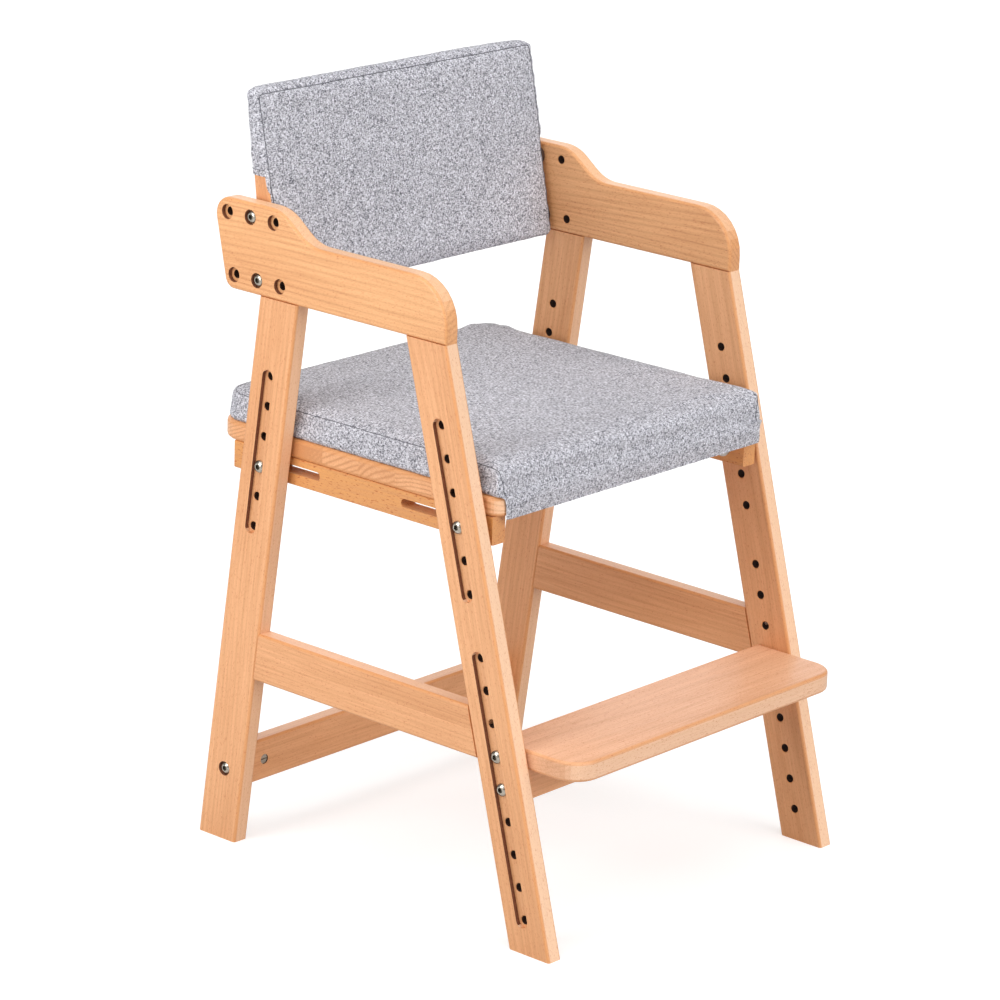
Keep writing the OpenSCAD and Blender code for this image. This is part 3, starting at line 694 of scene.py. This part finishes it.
def makeSeatCushion(look):
    low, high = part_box("seat_cover")
    boardLow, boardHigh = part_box("seat_board")
    boardFront = boardLow.y
    bottom = boardHigh.z + look["underGap"]
    puff = look["puff"] * look["puffShare"]
    front = low.y + look["frontSetBack"]
    inset = look["sideSetIn"]
    block = addBlock("seatCushion", (low.x + inset, front, bottom),
                     (high.x - inset, high.y - inset, high.z - puff))
    middle = (low.y + high.y) / 2
    bevelEdges(block, look["rearCorner"], 8, lambda m, e: runsAlong(e, 2) and m.y > middle)
    bevelEdges(block, look["frontCorner"], 5,
               lambda m, e: runsAlong(e, 2) and m.y < front + 0.01 and abs(m.x) > 0.15)
    topZ = max(v.co.z for v in block.data.vertices)
    bevelEdges(block, look["frontEdge"], 5, lambda m, e: runsAlong(e, 0) and m.z > topZ - 1e-5
               and m.y < front + 0.001)
    bevelEdges(block, look["topEdge"], 3, lambda m, e: abs(m.z - topZ) < 1e-5 and m.y > front + 0.02
               and abs(e.link_faces[0].normal.dot(e.link_faces[1].normal)) < 0.5)
    flap = addBlock("seatFlap", (look["flapLeft"], front, low.z),
                    (look["flapRight"], front + look["flapThick"], bottom + look["flapLap"]))
    cushion = joinPieces("seatCushion", [block, flap])
    applyModifier(cushion, "REMESH", mode="VOXEL", voxel_size=look["voxel"])
    applyModifier(cushion, "SMOOTH", factor=0.5, iterations=2)
    print("seat cushion remeshed:", len(cushion.data.vertices), "points")
    inflate(cushion, look["pressure"], look["puff"],
            lambda p: p[2] < bottom - 0.010 or (p[1] > boardFront and p[2] < bottom + 0.002))
    applyModifier(cushion, "SUBSURF", levels=1, render_levels=1)

    # behind the flap there is only the board, and the cushion's underside rests flat on it
    points = readPoints(cushion)
    behind = boardFront - look["slack"]
    under = (points[:, 2] < bottom - 0.0005) & (points[:, 1] > behind)
    points[under, 1] = behind
    resting = (points[:, 2] < bottom + 0.0015) & (points[:, 1] > boardFront + 0.001)
    points[resting, 2] = bottom
    hang = np.clip((bottom - points[:, 2]) / 0.02, 0, 1)
    points[:, 1] = np.maximum(points[:, 1], low.y - 0.0004) - look["flapTilt"] * hang
    points[:, 0] = np.clip(points[:, 0], low.x - look["slack"], high.x + look["slack"])
    writePoints(cushion, points)
    crease(cushion, look["dents"], look["dentSize"])

    # seams: up each front corner, then round the top's sides and back
    side = high.x - 0.0008
    seamZ = high.z - 0.0015
    corners = []
    for turn in (-1, 1):
        run = [
            (turn * (side - 0.010), low.y + 0.001, bottom + 0.001),
            (turn * (side - 0.004), low.y + 0.004, seamZ - 0.006),
            (turn * side, low.y + 0.026, seamZ),
            (turn * side, high.y - look["rearCorner"] * 0.35, seamZ),
        ]
        corners += run if turn < 0 else run[::-1]
    radius = [0, 0.006, 0.014, 0.028, 0.028, 0.014, 0.006, 0]
    path = layOn(cushion, roundedPath(corners, radius), 0.0)
    pinch(cushion, path, look["seamDepth"], look["seamWidth"])
    threadMap(cushion)
    smooth(cushion, 60)
    cushion.data.materials.clear()
    cushion.data.materials.append(seatCloth)
    seam = addThread("seatSeam", layOn(cushion, path, 0.0001), look["seamRadius"])
    seam.data.materials.append(seamThread)
    return cushion, seam


seatCushion, seatSeam = makeSeatCushion(seatLook)
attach(seatCushion, "seat")
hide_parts("seat_foam", "seat_cover")
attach(seatSeam, "seat")
print("seat cushion done")


backLook = {
    "frontLean": 0.2143,    # how far the cover's front leans back for each metre up
    "postFrontLean": 0.205,
    "postRearLean": 0.132,
    "hoodHem": 0.687,       # height of the hood's hem
    "hemLap": 0.012,        # how far the hood's block runs below its hem, to be cut off
    "panelHalf": 0.1975,
    "panelThick": 0.009,
    "panelDrop": 0.0035,    # the panel's top lies this far below the hood's
    "hoodSwell": 0.0012,    # how far the hood stands out past the cover's box at each side
    "bottomCorner": 0.009,
    "topCorner": 0.010,
    "topDrop": 0.0025,      # the top sags a little towards its left end
    "leftReach": 0.0018,    # the left edge lies closer to the armrest
    "pressure": 3.0,
    "puff": 0.0022,
    "voxel": 0.0036,
    "seamRadius": 0.0005,
    "stitchRadius": 0.00035,
    "dents": 0.0004,
    "dentSize": 0.03,
    "seamDepth": 0.0007,
    "seamWidth": 0.0024,
    "stitchRise": 0.006,    # from the hem to its stitched line
    "cavityDepth": 0.16,    # how far below the hem the cutting blocks start
}


# A block whose front and rear faces lean back by their own amounts for each metre up
def addLeaningBlock(name, half, frontY, rearY, lowZ, highZ, frontLean, rearLean):
    block = addBlock(name, (-half, frontY, lowZ), (half, rearY, highZ))
    rise = highZ - lowZ
    middle = (frontY + rearY) / 2
    top = highZ - 1e-5
    moveCorners(block, (0, frontLean * rise, 0), lambda m, v: m.z > top and m.y < middle)
    moveCorners(block, (0, rearLean * rise, 0), lambda m, v: m.z > top and abs(m.y - rearY) < 1e-6)
    return block


def makeBackCover(look):
    low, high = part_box("back_cover")
    postLow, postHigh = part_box("right_back_post")
    postHalf = abs(postLow.x)
    hem = look["hoodHem"]

    def coverFront(z):
        return low.y + (z - low.z) * look["frontLean"]

    def postFront(z):
        return postLow.y + 0.0002 + (z - postLow.z) * look["postFrontLean"]

    def postRear(z):
        return postHigh.y - 0.0001 - (postHigh.z - z) * look["postRearLean"]

    panelTop = high.z - look["panelDrop"]
    panelFront = coverFront(low.z)
    panel = addLeaningBlock("backCover", look["panelHalf"], panelFront, panelFront + look["panelThick"],
                            low.z, panelTop, look["frontLean"], look["frontLean"])
    bevelEdges(panel, look["bottomCorner"], 4, lambda m, e: runsAlong(e, 1) and m.z < low.z + 0.01)
    bevelEdges(panel, look["topCorner"], 4, lambda m, e: runsAlong(e, 1) and m.z > panelTop - 0.01)
    half = high.x + look["hoodSwell"]
    blockHalf = half - 0.0006
    hoodLow = hem - look["hemLap"]
    hood = addLeaningBlock("backHood", blockHalf, coverFront(hoodLow), postRear(hoodLow) + 0.0022,
                           hoodLow, high.z, look["frontLean"], look["postRearLean"])
    bevelEdges(hood, look["topCorner"], 5, lambda m, e: abs(e.verts[0].co.z - e.verts[1].co.z) < 1e-5
               and abs(e.verts[0].co.x - e.verts[1].co.x) < 1e-5 and m.z > high.z - 0.001)
    bevelEdges(hood, 0.004, 3, lambda m, e: runsAlong(e, 0) and m.z > high.z - 0.001)
    bevelEdges(hood, 0.002, 2, lambda m, e: abs(abs(m.x) - blockHalf) < 1e-4 and m.z > hoodLow + 0.01)
    cover = joinPieces("backCover", [panel, hood])
    applyModifier(cover, "REMESH", mode="VOXEL", voxel_size=look["voxel"])
    applyModifier(cover, "SMOOTH", factor=0.5, iterations=2)
    print("back cover remeshed:", len(cover.data.vertices), "points")
    inflate(cover, look["pressure"], look["puff"],
            lambda p: p[1] > coverFront(p[2]) + 0.004 or abs(p[0]) > 0.194)
    applyModifier(cover, "SUBSURF", levels=1, render_levels=1)

    # the top's left end sags, and the panel's left edge lies further out than its right one
    points = readPoints(cover)
    leftward = np.clip((points[:, 0] - 0.08) / 0.12, 0, 1) ** 2
    nearTop = np.clip((points[:, 2] - high.z + 0.03) / 0.03, 0, 1)
    points[:, 2] -= look["topDrop"] * (leftward * nearTop)
    edgeShare = np.clip((points[:, 0] - 0.15) / 0.047, 0, 1)
    points[:, 0] += look["leftReach"] * edgeShare * (points[:, 0] < 0.1985)
    writePoints(cover, points)
    crease(cover, look["dents"], look["dentSize"])

    # room for the posts and the panel, open below
    cutLow = hem - look["cavityDepth"]
    cutFront = postFront(cutLow) - 0.0004
    cutRear = postRear(cutLow)
    leans = look["postFrontLean"], look["postRearLean"]
    cavity = addLeaningBlock("cavity", postHalf + 0.0004, cutFront, cutRear + 0.0008,
                             cutLow, postHigh.z + 0.0006, *leans)
    below = addLeaningBlock("below", half + 0.02, cutFront, cutRear + 0.05, cutLow, hem, *leans)
    cutAway(cover, cavity)
    cutAway(cover, below)

    # seams round the front, and a stitched line above the hood's hem
    edge = look["panelHalf"] - 0.0006
    topZ = high.z - 0.0055
    lowZ = low.z + look["bottomCorner"]
    corners = [(-edge, coverFront(lowZ), lowZ), (-edge, coverFront(topZ), topZ),
               (edge, coverFront(topZ), topZ), (edge, coverFront(lowZ), lowZ)]
    frontPath = layOn(cover, roundedPath(corners, [0, 0.006, 0.006, 0]), 0.0)
    pinch(cover, frontPath, look["seamDepth"], look["seamWidth"])
    threadMap(cover)
    smooth(cover, 50)
    cover.data.materials.clear()
    cover.data.materials.append(backCloth)
    stitchZ = hem + look["stitchRise"]
    stitchFront = coverFront(stitchZ) + 0.002
    stitchRear = postRear(stitchZ) + 0.002
    corners = [(-half, stitchFront, stitchZ), (-half, stitchRear, stitchZ),
               (half, stitchRear, stitchZ), (half, stitchFront, stitchZ)]
    hemPath = roundedPath(corners, [0, 0.002, 0.002, 0])
    seams = [addThread("backSeam", layOn(cover, frontPath, 0.0001), look["seamRadius"]),
             addThread("hemStitch", layOn(cover, hemPath, 0.0), look["stitchRadius"])]
    seam = joinPieces("backSeams", seams)
    seam.data.materials.append(seamThread)
    return cover, seam


backCover, backSeams = makeBackCover(backLook)
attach(backCover, "frame")
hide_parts("back_cover")
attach(backSeams, "frame")


padLook = {
    "lean": 0.205,
    "edge": 0.0015,
    "dents": 0.0002,
    "dentSize": 0.02,
}


# The foam pad in the recess between the posts
def makeBackPad(look):
    low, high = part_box("back_foam")
    lean = look["lean"]
    rearY = high.y - lean * (high.z - low.z)
    pad = addLeaningBlock("backPad", high.x, low.y, rearY, low.z, high.z, lean, lean)
    bevelEdges(pad, look["edge"], 2, lambda m, e: True)
    applyModifier(pad, "SUBSURF", levels=3, render_levels=3, subdivision_type="SIMPLE")
    crease(pad, look["dents"], look["dentSize"])
    smooth(pad, 50)
    pad.data.materials.append(foamFill)
    return pad


backPad = makeBackPad(padLook)
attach(backPad, "frame")
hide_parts("back_foam")
print("back cover done")


studio = {
    "floorSize": 40.0,
    "floorPaint": 0.55,
    "floorRoughness": 0.9,
    "floorGlow": 0.55,      # seen by the camera only, so a white floor doesn't light the chair
    "sky": 0.2,
    "suns": {
        "frontLight": (1.57, (0.05, -1.0, 0.45), 45.0),     # strength, where it comes from, spread
        "topLight": (1.95, (-0.2, -0.2, 1.0), 80.0),
        "rearLight": (0.8, (0.7, 1.0, 0.35), 60.0),
    },
    "panelAt": (-1.70, 0.38, 1.00),
    "panelAim": (0.0, 0.0, 0.45),
    "panelSize": 0.9,
    "panelPower": 16.2,
    "cameraAt": (-3.06693, -2.63136, 1.62193),
    "cameraTurn": (72.6386, -1.9437, -48.3386),
    "lens": 153.23,
    "sensor": 36.0,
}


def addSun(name, strength, source, spread):
    deselectAll()
    bpy.ops.object.light_add(type="SUN", location=Vector(source) * 3)
    sun = bpy.context.object
    sun.name = name
    sun.data.energy = strength
    sun.data.angle = math.radians(spread)
    sun.rotation_euler = Vector(source).to_track_quat("Z", "Y").to_euler()


# A soft light panel close to the chair's right side, so that what lies behind gets less of it
def addPanel():
    deselectAll()
    bpy.ops.object.light_add(type="AREA", location=studio["panelAt"])
    panel = bpy.context.object
    panel.name = "keyPanel"
    panel.data.size = studio["panelSize"]
    panel.data.energy = studio["panelPower"]
    panel.visible_camera = False
    outward = Vector(studio["panelAt"]) - Vector(studio["panelAim"])
    panel.rotation_euler = outward.to_track_quat("Z", "Y").to_euler()


deselectAll()
bpy.ops.mesh.primitive_plane_add(size=studio["floorSize"])
studioFloor = bpy.context.object
studioFloor.name = "studioFloor"
floorPaint = bpy.data.materials.new("floorPaint")
floorPaint.use_nodes = True
floorShader = floorPaint.node_tree.nodes["Principled BSDF"]
floorShader.inputs["Base Color"].default_value = (*[studio["floorPaint"]] * 3, 1)
floorShader.inputs["Roughness"].default_value = studio["floorRoughness"]
floorShader.inputs["Emission Color"].default_value = (1, 1, 1, 1)
floorTree = floorPaint.node_tree
seen = addNode(floorTree, "LightPath").outputs["Is Camera Ray"]
glow = calc(floorTree, "MULTIPLY", seen, studio["floorGlow"])
floorTree.links.new(glow, floorShader.inputs["Emission Strength"])
studioFloor.data.materials.append(floorPaint)

sky = bpy.data.worlds.new("studioSky")
sky.use_nodes = True
skyShader = sky.node_tree.nodes["Background"]
skyShader.inputs["Color"].default_value = (1, 1, 1, 1)
skyShader.inputs["Strength"].default_value = studio["sky"]
bpy.context.scene.world = sky
for name, (strength, source, spread) in studio["suns"].items():
    addSun(name, strength, source, spread)
addPanel()
bpy.context.scene.view_settings.view_transform = "Standard"

deselectAll()
cameraTurn = [math.radians(angle) for angle in studio["cameraTurn"]]
bpy.ops.object.camera_add(location=studio["cameraAt"], rotation=cameraTurn)
camera = bpy.context.object
camera.name = "studioCamera"
camera.data.sensor_width = studio["sensor"]
camera.data.lens = studio["lens"]
camera.data.clip_end = 100
bpy.context.scene.camera = camera
print("floor, light and camera done")
